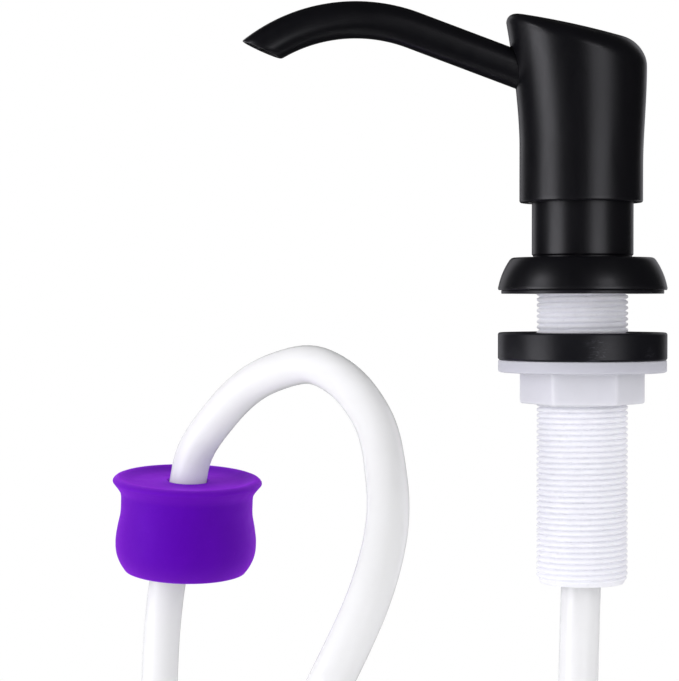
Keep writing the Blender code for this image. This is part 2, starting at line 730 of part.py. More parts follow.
def make_head_adapter(material, parent):
    socket = STEM_RADIUS + GAP
    chamber = OUTLET_BALL_RADIUS + 0.0005
    outline = [
        (0, ADAPTER_CHAMBER_TOP),
        (chamber, ADAPTER_CHAMBER_TOP),
        (chamber, STEM_TOP + 0.0004),
        (socket, STEM_TOP + 0.0004),
        (socket, ADAPTER_BOTTOM),
        (ADAPTER_RADIUS, ADAPTER_BOTTOM),
        (ADAPTER_RADIUS, HEAD_SOCKET_TOP - GAP),
        (0, HEAD_SOCKET_TOP - GAP),
    ]
    adapter = turned("head_adapter", outline, material, SMALL_SIDES, parent)
    cut_with(adapter, spout_axis_bar("side_port_cutter", SIDE_PORT_RADIUS, -0.001, -0.012, parent))


# The supply tube and the bottle's cap.


def cap_frame():
    lean = Matrix.Rotation(CAP_ROLL, 4, "Y") @ Matrix.Rotation(CAP_TILT, 4, "X")
    return Matrix.Translation(CAP_CENTRE) @ lean


def tube_route():
    """The route's points. Through the cap's hole they lie on a straight line."""
    hole = cap_frame() @ Vector((0, 0, -CAP_HOLE_DEPTH))
    through = [hole + CAP_TUBE_DIRECTION * along for along in (-0.009, 0.0, 0.015, 0.030)]
    return TUBE_ROUTE + through + TUBE_DIP


def make_supply_tube(material):
    wire("supply_tube", smooth_curve(tube_route(), TUBE_POINT_SPACING), TUBE_RADIUS, 2, material)


def make_bottle_cap(material, parent):
    web = [(CAP_HOLE_RADIUS, -0.0020), (CAP_HOLE_RADIUS, 0.0004)]
    rings = [ring(r, z, LARGE_SIDES) for r, z in web + CAP_OUTLINE]
    cap = loft("bottle_cap", rings, closed=True)
    cap.transform(cap_frame())
    new_object("bottle_cap", cap, material, parent)


def main():
    clear_scene()
    black_satin = new_material("black_satin", (0.012, 0.012, 0.014), 0.35)
    white_plastic = new_material("white_plastic", (0.75, 0.75, 0.80), 0.45)
    natural_plastic = new_material("natural_plastic", (0.80, 0.80, 0.78), 0.40)
    black_rubber = new_material("black_rubber", (0.02, 0.02, 0.025), 0.70)
    spring_steel = new_material("spring_steel", (0.60, 0.60, 0.62), 0.30, metallic=1.0)
    clear_silicone = new_material("clear_silicone", (0.82, 0.83, 0.84), 0.35)
    purple_silicone = new_material("purple_silicone", (0.13, 0.01, 0.40), 0.40)

    clamp = new_empty("clamp_slide", (0, 0, GASKET_TOP))
    nut = new_empty("nut_axis", (0, 0, 0), clamp)
    plunger = new_empty("stroke_slide", (0, 0, STEM_BOTTOM))
    head = new_empty("head_axis", (0, 0, 0), plunger)
    inlet_valve = new_empty("inlet_valve_slide", (0, 0, VALVE_SEAT_TOP))
    outlet_valve = new_empty("outlet_valve_slide", (0, 0, 0), plunger)
    cap = new_empty("cap_slide", CAP_CENTRE)

    make_escutcheon(black_satin)
    make_deck_seal(black_rubber)
    make_threaded_shank(white_plastic)
    make_under_gasket(black_rubber, clamp)
    make_lock_nut(white_plastic, nut)

    make_guide_collar(black_satin)
    make_pump_housing(natural_plastic)
    make_housing_gasket(black_rubber)
    make_retaining_cap(natural_plastic)
    make_ball_cage(natural_plastic)
    make_valve_balls(spring_steel, inlet_valve, outlet_valve)
    make_return_spring(spring_steel)
    make_plunger(natural_plastic, black_rubber, plunger)

    make_head_shell(black_satin, head)
    make_spout(black_satin, natural_plastic, head)
    make_head_adapter(natural_plastic, head)

    make_supply_tube(clear_silicone)
    make_bottle_cap(purple_silicone, cap)


main()
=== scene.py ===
"""The looks of the deck-mounted soap pump dispenser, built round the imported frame.

Metres, +Z up. The origin is the middle of the deck hole at the countertop's upper face, and the
spout points to -X. Each fine piece takes its place and size from the CAD nodes it stands for.
"""

import math

import bmesh
import bpy
from mathutils import Matrix, Vector


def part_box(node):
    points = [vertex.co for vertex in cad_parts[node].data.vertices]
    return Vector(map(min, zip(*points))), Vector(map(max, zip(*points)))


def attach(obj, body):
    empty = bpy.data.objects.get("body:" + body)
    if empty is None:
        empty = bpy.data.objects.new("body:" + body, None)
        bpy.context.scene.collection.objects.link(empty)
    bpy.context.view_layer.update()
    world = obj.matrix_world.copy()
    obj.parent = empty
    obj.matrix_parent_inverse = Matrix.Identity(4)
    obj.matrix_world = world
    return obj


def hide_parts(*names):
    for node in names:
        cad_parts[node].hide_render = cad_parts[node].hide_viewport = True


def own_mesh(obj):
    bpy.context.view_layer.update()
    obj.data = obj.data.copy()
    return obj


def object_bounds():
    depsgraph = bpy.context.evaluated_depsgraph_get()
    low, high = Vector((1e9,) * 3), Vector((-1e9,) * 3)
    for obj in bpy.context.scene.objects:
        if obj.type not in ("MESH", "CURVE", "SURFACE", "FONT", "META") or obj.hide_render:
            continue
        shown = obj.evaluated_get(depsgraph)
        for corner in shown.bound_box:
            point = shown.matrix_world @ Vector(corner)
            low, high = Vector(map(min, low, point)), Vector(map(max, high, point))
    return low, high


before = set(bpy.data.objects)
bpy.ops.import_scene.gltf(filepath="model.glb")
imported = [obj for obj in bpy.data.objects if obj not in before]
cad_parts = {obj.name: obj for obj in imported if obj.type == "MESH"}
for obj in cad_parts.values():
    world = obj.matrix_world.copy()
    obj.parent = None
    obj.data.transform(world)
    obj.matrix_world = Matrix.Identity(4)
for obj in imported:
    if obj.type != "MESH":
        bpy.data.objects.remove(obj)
CAD_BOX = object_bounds()

GAP = 0.0003  # between pieces that move past each other
CONTACT = 0.00003  # between pieces that rest on each other
ROUND_SIDES = 144  # columns of a large turned piece
SMALL_SIDES = 72  # columns of a narrow one
SHARP_ANGLE = math.radians(38)

# The camera and the room.
CAMERA_AT = Vector((-0.0735, -0.6356, -0.0019))
CAMERA_AIM = Vector((-0.0735, 0.0, -0.01416))
CAMERA_LENS = 111.34  # mm, on a sensor 36 mm wide
FLOOR_HEIGHT = CAD_BOX[0].z - 0.004
FLOOR_RADIUS = 1.15
FLOOR_FADE_FROM = 0.40
SOFTBOX_COLOUR = (0.95, 0.94, 1.0)
SOFTBOX_AIM = Vector((-0.02, 0.0, -0.02))

# The supply tube's route, as in the CAD.
TUBE_RADIUS = 0.006
TUBE_BORE = 0.004
TUBE_TOP = -0.0515  # where its end is pushed to, over the inlet stub's barbs
TUBE_STEP = 0.0025
TUBE_ROUTE = [
    (0.0000, 0.0000, -0.0603),
    (0.0000, 0.0000, -0.0780),
    (-0.0006, -0.0004, -0.1000),
    (-0.0012, -0.0008, -0.1250),
    (-0.0010, -0.0008, -0.1550),
    (-0.0002, -0.0002, -0.1850),
    (-0.0002, -0.0002, -0.2150),
    (-0.0030, -0.0020, -0.2450),
    (-0.0170, -0.0125, -0.2840),
    (-0.0600, -0.0450, -0.3100),
    (-0.1035, -0.0780, -0.2860),
    (-0.1200, -0.0915, -0.2460),
    (-0.1215, -0.0945, -0.2150),
    (-0.1165, -0.0945, -0.1850),
    (-0.1060, -0.0915, -0.1560),
    (-0.0902, -0.0868, -0.1290),
    (-0.0758, -0.0812, -0.1028),
    (-0.0653, -0.0710, -0.0813),
    (-0.0605, -0.0550, -0.0657),
    (-0.0603, -0.0340, -0.0510),
    (-0.0637, -0.0135, -0.0370),
    (-0.0741, 0.0060, -0.0251),
    (-0.0820, 0.0160, -0.0220),
    (-0.0923, 0.0265, -0.0241),
    (-0.1013, 0.0345, -0.0286),
    (-0.1125, 0.0435, -0.0395),
]
TUBE_DIP = [
    (-0.1316, 0.0552, -0.1060),
    (-0.1330, 0.0564, -0.1280),
    (-0.1332, 0.0570, -0.1550),
    (-0.1329, 0.0571, -0.1850),
    (-0.1325, 0.0571, -0.2150),
    (-0.1323, 0.0570, -0.2400),
]
CAP_CENTRE = Vector((-0.1232, 0.0500, -0.0613))
CAP_TILT = math.radians(6)
CAP_ROLL = math.radians(2)
CAP_HOLE_DEPTH = 0.0008
CAP_HOLE_RADIUS = 0.0062  # the soft hole grips the tube
CAP_TUBE_DIRECTION = Vector((-0.21, 0.12, -0.97)).normalized()
# The cap's wall outside and inside, as (r, z) under its rim.
CAP_SKIRT = [
    (0.02150, -0.0056),
    (0.02160, -0.0105),
    (0.02245, -0.0150),
    (0.02300, -0.0195),
    (0.02260, -0.0240),
    (0.02110, -0.0275),
    (0.01985, -0.0293),
]
CAP_LINING = [
    (0.01870, -0.0285),
    (0.02020, -0.0240),
    (0.02060, -0.0195),
    (0.01990, -0.0130),
    (0.01955, -0.0070),
]

# The thread that the shank and the nut share.
THREAD_PITCH = 0.00167
THREAD_DEPTH = 0.0009
THREAD_START = 0.0006  # from the shank's end up to the middle of the first root
THREAD_ROWS = 8  # rows of points in a pitch
# In half pitches: how far before the root's middle a flank starts, and how long it is.
THREAD_FLANK_LEAD = 0.06
THREAD_FLANK = 0.80

NUT_ACROSS_CORNERS = 0.0381
NUT_TURNED_BY = math.radians(-4)
NUT_FLANGE_THICKNESS = 0.0034

# The head's shape.
HEAD_FRONT_FLARE = 0.0041
HEAD_FRONT_FLARE_FROM = 0.045
HEAD_FRONT_FLARE_OVER = 0.037
HEAD_FRONT_GROWTH = 1.6
HEAD_BACK_FLARE = 0.0011
HEAD_BACK_FLARE_FROM = 0.038
HEAD_BACK_FLARE_OVER = 0.030
HEAD_FRONT = 0.01905
HEAD_BACK = 0.0181
HEAD_HALF_WIDTH = 0.0185
HEAD_TOP = 0.0804
HEAD_TOP_SLOPE = -0.235
HEAD_CROWN_ALONG = 2.2
HEAD_CROWN_ACROSS = 12
HEAD_EDGE_FRONT = 0.0028
HEAD_EDGE_BACK = 0.0066
HEAD_EDGE_GROWTH = 1.9
HEAD_CAVITY_RADIUS = 0.0162
HEAD_CAVITY_TOP = 0.0562
HEAD_SOCKET_RADIUS = 0.0072
HEAD_SOCKET_TOP = 0.0695

SPOUT_RADIUS = 0.0056
SPOUT_BORE = 0.0044
SPOUT_SLOPE = math.radians(20.6)
SPOUT_PEAK = Vector((-0.0686, 0, 0.08265))
SPOUT_BEND = 0.0495
SPOUT_TIP_FALL = math.radians(35.2)
SPOUT_MOUTH_TILT = math.radians(24)
SPOUT_ROOT_X = -0.0093
LINER_RADIUS = 0.0040
LINER_BORE = 0.0030
LINER_RECESS = 0.003


# Meshes.


def swung(first, last, part):
    """The vector that has turned part of the way from first to last, which are equally long."""
    whole = first.angle(last)
    return (first * math.sin((1 - part) * whole) + last * math.sin(part * whole)) / math.sin(whole)


def rounded(corners, steps=5):
    """The outline through corners (r, z) or (r, z, fillet), with an arc wherever there is a fillet."""
    outline = []
    for index, (r, z, *fillet) in enumerate(corners):
        corner = Vector((r, z))
        if not fillet:
            outline.append(corner)
            continue
        back = (Vector(corners[index - 1][:2]) - corner).normalized()
        ahead = (Vector(corners[(index + 1) % len(corners)][:2]) - corner).normalized()
        half = back.angle(ahead) / 2
        centre = corner + (back + ahead).normalized() * fillet[0] / math.sin(half)
        first = corner + back * fillet[0] / math.tan(half) - centre
        last = corner + ahead * fillet[0] / math.tan(half) - centre
        outline += [centre + swung(first, last, step / steps) for step in range(steps + 1)]
    return outline


def smoothstep(value):
    value = min(1.0, max(0.0, value))
    return value * value * (3 - 2 * value)


def turns_of(sides):
    return [math.tau * side / sides for side in range(sides)]


def ring(radius, z, turns):
    return [Vector((radius * math.cos(turn), radius * math.sin(turn), z)) for turn in turns]


def skin(name, rows, closed=False, seam=False):
    """A mesh through rows of equally many points, each row running round. A row of one point is a
    pole. With seam, a row's last point already lies on the first point of this or another row."""
    shape = bmesh.new()
    made = [[shape.verts.new(point) for point in row] for row in rows]
    spans = list(zip(made, made[1:]))
    if closed:
        spans.append((made[-1], made[0]))
    for lower, upper in spans:
        sides = max(len(lower), len(upper))
        for side in range(sides - 1 if seam else sides):
            after = (side + 1) % sides
            corners = [lower[side % len(lower)], lower[after % len(lower)]]
            corners += [upper[after % len(upper)], upper[side % len(upper)]]
            shape.faces.new(dict.fromkeys(corners))
    if seam:
        bmesh.ops.remove_doubles(shape, verts=shape.verts, dist=1e-6)
    bmesh.ops.recalc_face_normals(shape, faces=shape.faces)
    mesh = bpy.data.meshes.new(name)
    shape.to_mesh(mesh)
    shape.free()
    return smooth(mesh)


def smooth(mesh):
    mesh.shade_smooth()
    mesh.set_sharp_from_angle(angle=SHARP_ANGLE)
    return mesh


def piece(name, data, material, body, *nodes):
    """Shows a fine piece on a body, in place of the CAD nodes that it stands for."""
    data.materials.clear()
    data.materials.append(material)
    made = bpy.data.objects.new(name, data)
    bpy.context.scene.collection.objects.link(made)
    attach(made, body)
    if nodes:
        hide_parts(*nodes)
    return made


def turned(name, outline, material, body, *nodes):
    """A turned piece, from its outline (r, z), which is a loop."""
    rows = [ring(r, z, turns_of(ROUND_SIDES)) for r, z in outline]
    return piece(name, skin(name, rows, closed=True), material, body, *nodes)


def smooth_curve(points, spacing):
    """Evenly spaced points of the smooth curve through the given ones."""
    points = [Vector(point) for point in points]
    lengths = [(after - before).length for before, after in zip(points, points[1:])]
    slopes = [(points[1] - points[0]) / lengths[0]]
    for index in range(1, len(points) - 1):
        before = (points[index] - points[index - 1]) / lengths[index - 1]
        after = (points[index + 1] - points[index]) / lengths[index]
        slopes.append(before.lerp(after, lengths[index - 1] / (lengths[index - 1] + lengths[index])))
    slopes.append((points[-1] - points[-2]) / lengths[-1])
    fine = []
    steps = 24  # from one given point to the next
    for index, length in enumerate(lengths):
        for step in range(steps):
            t = step / steps
            fine.append(
                points[index] * (2 * t**3 - 3 * t**2 + 1)
                + slopes[index] * length * (t**3 - 2 * t**2 + t)
                + points[index + 1] * (3 * t**2 - 2 * t**3)
                + slopes[index + 1] * length * (t**3 - t**2)
            )
    fine.append(points[-1])
    total = sum((after - before).length for before, after in zip(fine, fine[1:]))
    count = round(total / spacing)
    even = [fine[0]]
    travelled = 0.0
    for before, after in zip(fine, fine[1:]):
        step = (after - before).length
        while len(even) < count and travelled + step >= total * len(even) / count:
            even.append(before.lerp(after, (total * len(even) / count - travelled) / step))
        travelled += step
    return even + [fine[-1]]


def sweep(path, radii, sides, start=Vector((1, 0, 0))):
    """Rings of the given radii round a path, without twist."""
    turns = turns_of(sides)
    across = start
    rings = []
    for index, (middle, radius) in enumerate(zip(path, radii)):
        along = (path[min(index + 1, len(path) - 1)] - path[max(index - 1, 0)]).normalized()
        across = (across - along * across.dot(along)).normalized()
        beside = along.cross(across)
        out = [across * math.cos(turn) + beside * math.sin(turn) for turn in turns]
        rings.append([middle + radius * direction for direction in out])
    return rings


# Materials.


def node(tree, kind, sockets=None, **settings):
    made = tree.nodes.new(kind)
    for name, value in settings.items():
        setattr(made, name, value)
    for key, value in (sockets or {}).items():
        if isinstance(value, bpy.types.NodeSocket):
            tree.links.new(value, made.inputs[key])
        else:
            made.inputs[key].default_value = value
    return made


def noise(tree, scale, detail=3.0, stretch=(1, 1, 1), distortion=0.0):
    """Noise over the object's own metres. A scale of 100 makes patches of about 10 mm."""
    place = node(tree, "ShaderNodeTexCoord").outputs["Object"]
    if stretch != (1, 1, 1):
        place = node(tree, "ShaderNodeMapping", {"Vector": place, "Scale": stretch}).outputs[0]
    sockets = {"Vector": place, "Scale": scale, "Detail": detail, "Distortion": distortion}
    return node(tree, "ShaderNodeTexNoise", sockets).outputs[0]


def spread(tree, value, from_low, from_high, low, high):
    sockets = {0: value, 1: from_low, 2: from_high, 3: low, 4: high}
    return node(tree, "ShaderNodeMapRange", sockets, clamp=True).outputs[0]


def blended(tree, factor, first, second):
    """Colours first and second mixed by factor. Each is a colour or a socket."""
    first, second = ((*c, 1.0) if isinstance(c, tuple) and len(c) == 3 else c for c in (first, second))
    return node(tree, "ShaderNodeMix", {0: factor, 6: first, 7: second}, data_type="RGBA").outputs[2]


def bumped(tree, height, distance, strength=1.0, under=None):
    sockets = {"Height": height, "Distance": distance, "Strength": strength}
    if under:
        sockets["Normal"] = under
    return node(tree, "ShaderNodeBump", sockets).outputs[0]


def edges(tree):
    """1 on convex edges and 0 elsewhere."""
    pointed = node(tree, "ShaderNodeNewGeometry").outputs["Pointiness"]
    return spread(tree, pointed, 0.51, 0.58, 0.0, 1.0)


def new_material(name, slot, metallic=0.0, **sockets):
    """A material with a Principled shader, the constant values of which are given by socket name."""
    material = bpy.data.materials.new(name)
    material.use_nodes = True
    material["slot"] = slot
    shader = material.node_tree.nodes["Principled BSDF"]
    shader.inputs["Metallic"].default_value = metallic
    for key, value in sockets.items():
        shader.inputs[key.replace("_", " ")].default_value = value
    return material, material.node_tree, shader


def wire_up(tree, shader, colour, roughness, normal):
    tree.links.new(colour, shader.inputs["Base Color"])
    tree.links.new(roughness, shader.inputs["Roughness"])
    tree.links.new(normal, shader.inputs["Normal"])


def black_satin():
    """Satin black coating: faint cloudiness, a very fine texture and edges worn a little lighter."""
    material, tree, shader = new_material("black_satin_coat", "black_satin", Specular_IOR_Level=0.5)
    clouds = noise(tree, 70, 4)
    grain = noise(tree, 5200, 2)
    colour = blended(tree, clouds, (0.0016, 0.0015, 0.0026), (0.0032, 0.0030, 0.0048))
    colour = blended(tree, spread(tree, edges(tree), 0, 1, 0, 0.25), colour, (0.030, 0.030, 0.032))
    wiped = noise(tree, 260, 5, (1, 1, 0.25), 0.6)
    roughness = spread(tree, wiped, 0.3, 0.7, 0.30, 0.37)
    normal = bumped(tree, grain, 0.000006, 0.5)
    normal = bumped(tree, noise(tree, 320, 2), 0.00002, 0.25, normal)
    wire_up(tree, shader, colour, roughness, normal)
    return material


def white_plastic(name, tone, shaded_above=1.0):
    """Moulded white plastic with faint flow clouds, scuffs and light that spreads inside. tone scales
    its colour. Above a height, the last argument, it is darker: painted shade, such as the gasket
    casts on a nut's flange. By default that height, 1 m, is over everything."""
    material, tree, shader = new_material(
        name,
        "white_plastic",
        Subsurface_Weight=0.70,
        Subsurface_Scale=0.004,
        Subsurface_Radius=(1.0, 1.0, 1.0),
        Specular_IOR_Level=0.45,
    )
    flow = noise(tree, 60, 5, (1, 1, 0.5), 1.2)
    low = [part * tone for part in (0.680, 0.680, 0.725)]
    high = [part * tone for part in (0.760, 0.758, 0.800)]
    colour = blended(tree, flow, (*low, 1.0), (*high, 1.0))
    dust = spread(tree, noise(tree, 900, 4), 0.60, 0.80, 0.0, 0.35)
    colour = blended(tree, dust, colour, (0.58, 0.58, 0.62))
    place = node(tree, "ShaderNodeTexCoord").outputs["Object"]
    height = node(tree, "ShaderNodeSeparateXYZ", {0: place}).outputs[2]
    # Painted shade: the colour turns darker above that height, like the shade under the gasket on the
    # nut's flange.
    painted_shade = spread(tree, height, shaded_above - 0.0004, shaded_above, 0.0, 0.8)
    colour = blended(tree, painted_shade, colour, (0.43, 0.43, 0.475))
    roughness = spread(tree, noise(tree, 340, 4, (1, 1, 0.4)), 0.3, 0.7, 0.42, 0.58)
    normal = bumped(tree, noise(tree, 3800, 2), 0.000008, 0.5)
    normal = bumped(tree, noise(tree, 45, 1), 0.00006, 0.15, normal)
    wire_up(tree, shader, colour, roughness, normal)
    return material


def natural_plastic():
    """Unpigmented plastic, slightly warm and cloudy."""
    material, tree, shader = new_material(
        "natural_moulded_plastic",
        "natural_plastic",
        Subsurface_Weight=0.25,
        Subsurface_Scale=0.0016,
        Subsurface_Radius=(1.0, 0.95, 0.85),
        Transmission_Weight=0.08,
    )
    clouds = noise(tree, 130, 4, (1, 1, 0.5), 0.8)
    colour = blended(tree, clouds, (0.72, 0.71, 0.66), (0.84, 0.83, 0.79))
    roughness = spread(tree, noise(tree, 500, 4), 0.3, 0.7, 0.34, 0.50)
    normal = bumped(tree, noise(tree, 2600, 3), 0.00001, 0.5)
    wire_up(tree, shader, colour, roughness, normal)
    return material


def black_rubber():
    """Bluish black rubber with a dusty bloom, short scuffs and pale worn edges."""
    material, tree, shader = new_material("black_moulded_rubber", "black_rubber", Specular_IOR_Level=0.38)
    bloom = noise(tree, 110, 5, (1, 1, 1), 0.5)
    colour = blended(tree, bloom, (0.0010, 0.0010, 0.0022), (0.0024, 0.0024, 0.0044))
    streaks = noise(tree, 420, 3, (1, 1, 7), 1.6)
    patches = spread(tree, noise(tree, 75, 2), 0.52, 0.66, 0.0, 1.0)
    streaked = spread(tree, streaks, 0.54, 0.66, 0.0, 1.0)
    sockets = {0: streaked, 1: patches}
    scuffs = node(tree, "ShaderNodeMath", sockets, operation="MULTIPLY").outputs[0]
    colour = blended(tree, scuffs, colour, (0.060, 0.060, 0.072))
    colour = blended(tree, spread(tree, edges(tree), 0, 1, 0, 0.5), colour, (0.045, 0.045, 0.055))
    roughness = spread(tree, bloom, 0.3, 0.7, 0.32, 0.42)
    normal = bumped(tree, noise(tree, 2400, 3), 0.000012, 0.6)
    normal = bumped(tree, streaks, 0.00004, 0.25, normal)
    wire_up(tree, shader, colour, roughness, normal)
    return material


def spring_steel():
    """Drawn steel with fine lines and faint stains."""
    material, tree, shader = new_material("drawn_spring_steel", "spring_steel", metallic=1.0)
    stains = noise(tree, 900, 5)
    colour = blended(tree, stains, (0.48, 0.47, 0.46), (0.66, 0.66, 0.67))
    roughness = spread(tree, noise(tree, 3000, 3), 0.3, 0.7, 0.20, 0.36)
    wire_up(tree, shader, colour, roughness, bumped(tree, noise(tree, 9000, 2), 0.000003, 0.5))
    return material


def clear_silicone():
    """Milky silicone hose: light passes into it and spreads, over a satin surface."""
    material, tree, shader = new_material(
        "milky_silicone",
        "clear_silicone",
        Subsurface_Weight=1.0,
        Subsurface_Scale=0.004,
        Subsurface_Radius=(1.0, 1.0, 1.0),
        Transmission_Weight=0.12,
        IOR=1.41,
        Specular_IOR_Level=0.5,
    )
    clouds = noise(tree, 55, 4, (1, 1, 1), 0.6)
    colour = blended(tree, clouds, (0.935, 0.937, 0.940), (0.960, 0.962, 0.965))
    roughness = spread(tree, noise(tree, 140, 3), 0.3, 0.7, 0.17, 0.25)
    normal = bumped(tree, noise(tree, 2600, 1), 0.000003, 0.3)
    normal = bumped(tree, noise(tree, 70, 1), 0.00010, 0.15, normal)
    wire_up(tree, shader, colour, roughness, normal)
    return material


def purple_silicone():
    """Soft purple silicone with a satin skin, a dusty bloom and paler stretched edges."""
    material, tree, shader = new_material(
        "purple_moulded_silicone",
        "purple_silicone",
        Subsurface_Weight=0.12,
        Subsurface_Scale=0.0015,
        Subsurface_Radius=(0.6, 0.2, 1.0),
        Specular_IOR_Level=0.25,
        Specular_Tint=(0.55, 0.12, 1.0, 1.0),
        Sheen_Weight=0.8,
        Sheen_Roughness=0.6,
        Sheen_Tint=(0.45, 0.025, 1.0, 1.0),
    )
    clouds = noise(tree, 60, 4, (1, 1, 1), 0.8)
    colour = blended(tree, clouds, (0.057, 0.0001, 0.290), (0.071, 0.0002, 0.345))
    colour = blended(tree, spread(tree, edges(tree), 0, 1, 0, 0.35), colour, (0.26, 0.02, 0.66))
    dust = spread(tree, noise(tree, 1300, 4), 0.62, 0.82, 0.0, 0.25)
    colour = blended(tree, dust, colour, (0.18, 0.01, 0.48))
    roughness = spread(tree, noise(tree, 300, 4), 0.3, 0.7, 0.50, 0.62)
    normal = bumped(tree, noise(tree, 2600, 3), 0.00001, 0.5)
    normal = bumped(tree, noise(tree, 90, 2), 0.00012, 0.2, normal)
    wire_up(tree, shader, colour, roughness, normal)
    return material


BLACK = black_satin()
# One white plastic in two tones: the shank's copy is paler, as painted light against the shade in its
# thread, and the nut's is darker.
WHITE = white_plastic("white_moulded_plastic", 1.14)
NUT_WHITE = white_plastic("white_nut_plastic", 0.88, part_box("lock_nut")[1].z - NUT_FLANGE_THICKNESS)
NATURAL = natural_plastic()
RUBBER = black_rubber()
STEEL = spring_steel()
SILICONE = clear_silicone()
PURPLE = purple_silicone()


# The camera, and the supply tube with its cap.


def make_camera():
    data = bpy.data.cameras.new("camera")
    data.sensor_fit = "HORIZONTAL"
    data.sensor_width = 36.0
    data.lens = CAMERA_LENS
    data.clip_start = 0.01
    data.clip_end = 50.0
    camera = bpy.data.objects.new("camera", data)
    camera.location = CAMERA_AT
    camera.rotation_euler = (CAMERA_AIM - CAMERA_AT).to_track_quat("-Z", "Y").to_euler()
    bpy.context.scene.collection.objects.link(camera)
    bpy.context.scene.camera = camera


def cap_frame():
    """The cap's axes: the origin is the middle of its top, at the height where the rim is widest."""
    lean = Matrix.Rotation(CAP_ROLL, 4, "Y") @ Matrix.Rotation(CAP_TILT, 4, "X")
    return Matrix.Translation(CAP_CENTRE) @ lean


def tube_path():
    """The tube's centreline. Through the cap's hole it is straight, so that the cap can slide on it."""
    hole = cap_frame() @ Vector((0, 0, -CAP_HOLE_DEPTH))
    through = [hole + CAP_TUBE_DIRECTION * along for along in (-0.009, 0.0, 0.015, 0.030)]
    return smooth_curve([(0, 0, TUBE_TOP)] + TUBE_ROUTE + through + TUBE_DIP, TUBE_STEP)


def make_supply_tube():
    path = tube_path()
    sides = 48
    count = len(path)
    rim = 0.0004  # the bevel round each end
    ends = [path[0]] + [path[0].lerp(path[1], rim / TUBE_STEP)] + path[1:-1]
    ends += [path[-1].lerp(path[-2], rim / TUBE_STEP), path[-1]]
    outer = [TUBE_RADIUS - rim] + [TUBE_RADIUS] * count + [TUBE_RADIUS - rim]
    inner = [TUBE_BORE] * (count + 2)
    rows = sweep(ends, outer, sides) + sweep(ends, inner, sides)[::-1]
    tube = piece("supply_hose", skin("supply_hose", rows, closed=True), SILICONE, "root", "supply_tube")
    return tube, path


def spline(points):
    """The smooth (r, z) outline through points."""
    return [tuple(point.to_2d()) for point in smooth_curve([(*p, 0) for p in points], 0.0007)]


def hole_ring(radius, z, turns):
    """A ring in the cap's axes at height z, round the slanting line that the tube follows."""
    into_cap = cap_frame().inverted().to_3x3()
    along = (into_cap @ CAP_TUBE_DIRECTION).normalized()
    middle = Vector((0, 0, -CAP_HOLE_DEPTH))
    points = []
    for turn in turns:
        # Where the line through this point of the tube's side crosses the height z.
        out = Vector((math.cos(turn), math.sin(turn), 0))
        out = (out - along * out.dot(along)).normalized()
        start = middle + out * radius
        points.append(start + along * (z - start.z) / along.z)
    return points


def make_cap():
    turns = turns_of(ROUND_SIDES)
    top, under = 0.0004, -0.0020
    hole = [
        hole_ring(CAP_HOLE_RADIUS + 0.0006, under, turns),
        hole_ring(CAP_HOLE_RADIUS + 0.0001, under + 0.0004, turns),
        hole_ring(CAP_HOLE_RADIUS, under + 0.0010, turns),
        hole_ring(CAP_HOLE_RADIUS, top - 0.0008, turns),
        hole_ring(CAP_HOLE_RADIUS + 0.0002, top - 0.0002, turns),
        hole_ring(CAP_HOLE_RADIUS + 0.0008, top + 0.0001, turns),
        hole_ring(CAP_HOLE_RADIUS + 0.0018, top - 0.0003, turns),
    ]
    dish = [(0.0125, -0.0001), (0.0168, 0.0000), (0.0190, 0.0003), (0.0206, 0.0010)]
    rim = [(0.0218, 0.00150), (0.0227, 0.00155), (0.0235, 0.00125), (0.0240, 0.00080), (0.02430, 0.00035)]
    lip = [(0.02435, 0.0), (0.02425, -0.0003), (0.0235, -0.0012), (0.0225, -0.0025), (0.0219, -0.0034)]
    lip += [(0.02165, -0.0041), (0.02155, -0.0048)]
    outline = dish + rim + lip + spline(CAP_SKIRT)
    outline += [(0.0193, -0.0295), (0.0188, -0.0292)] + spline(CAP_LINING)
    outline += [(0.0193, -0.0030), (0.0184, -0.0021), (0.0150, -0.0020)]
    rows = hole + [ring(r, z, turns) for r, z in outline]
    mesh = skin("soft_bottle_cap", rows, closed=True)
    mesh.transform(cap_frame())
    return piece("soft_bottle_cap", mesh, PURPLE, "cap", "bottle_cap")


make_camera()
tube, tube_line = make_supply_tube()
cap = make_cap()


# The deck fitting.


def make_escutcheon():
    low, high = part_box("escutcheon")
    foot, top_radius, shoulder = high.x, high.x - 0.0035, 0.0079
    flank_bottom, flank_top, bulge = 0.0016, high.z - 0.0007, 0.022
    start, end = Vector((foot, flank_bottom)), Vector((top_radius, flank_top))
    chord = end - start
    side = Vector((-chord.y, chord.x)).normalized()
    centre = (start + end) / 2 + side * math.sqrt(bulge**2 - (chord.length / 2) ** 2)
    steps = 14  # rows of the flank
    flank = [centre + swung(start - centre, end - centre, step / steps) for step in range(steps + 1)]
    bore, foot_bore = 0.0132, 0.0141
    base = [
        (foot_bore, shoulder),
        (foot_bore, low.z, 0.0003),
        (foot - 0.0002, low.z, 0.0002),
        (foot, flank_bottom),
    ]
    outline = [
        *rounded(base)[:-1],
        *flank,
        (top_radius - 0.00025, high.z - 0.00045),
        (top_radius - 0.00062, high.z - 0.00015),
        (top_radius - 0.0011, high.z),
        (bore + 0.0002, high.z),
        (bore, high.z - 0.0002),
        (bore, shoulder),
    ]
    turned("deck_flange", outline, BLACK, "root", "escutcheon")


def make_deck_seal():
    low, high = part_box("deck_seal")
    inner = 0.0150
    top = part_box("escutcheon")[0].z - CONTACT
    corners = [(inner, low.z), (high.x, low.z, 0.0002), (high.x, top, 0.0002), (inner, top)]
    turned("deck_seal_ring", rounded(corners, 3), RUBBER, "root", "deck_seal")


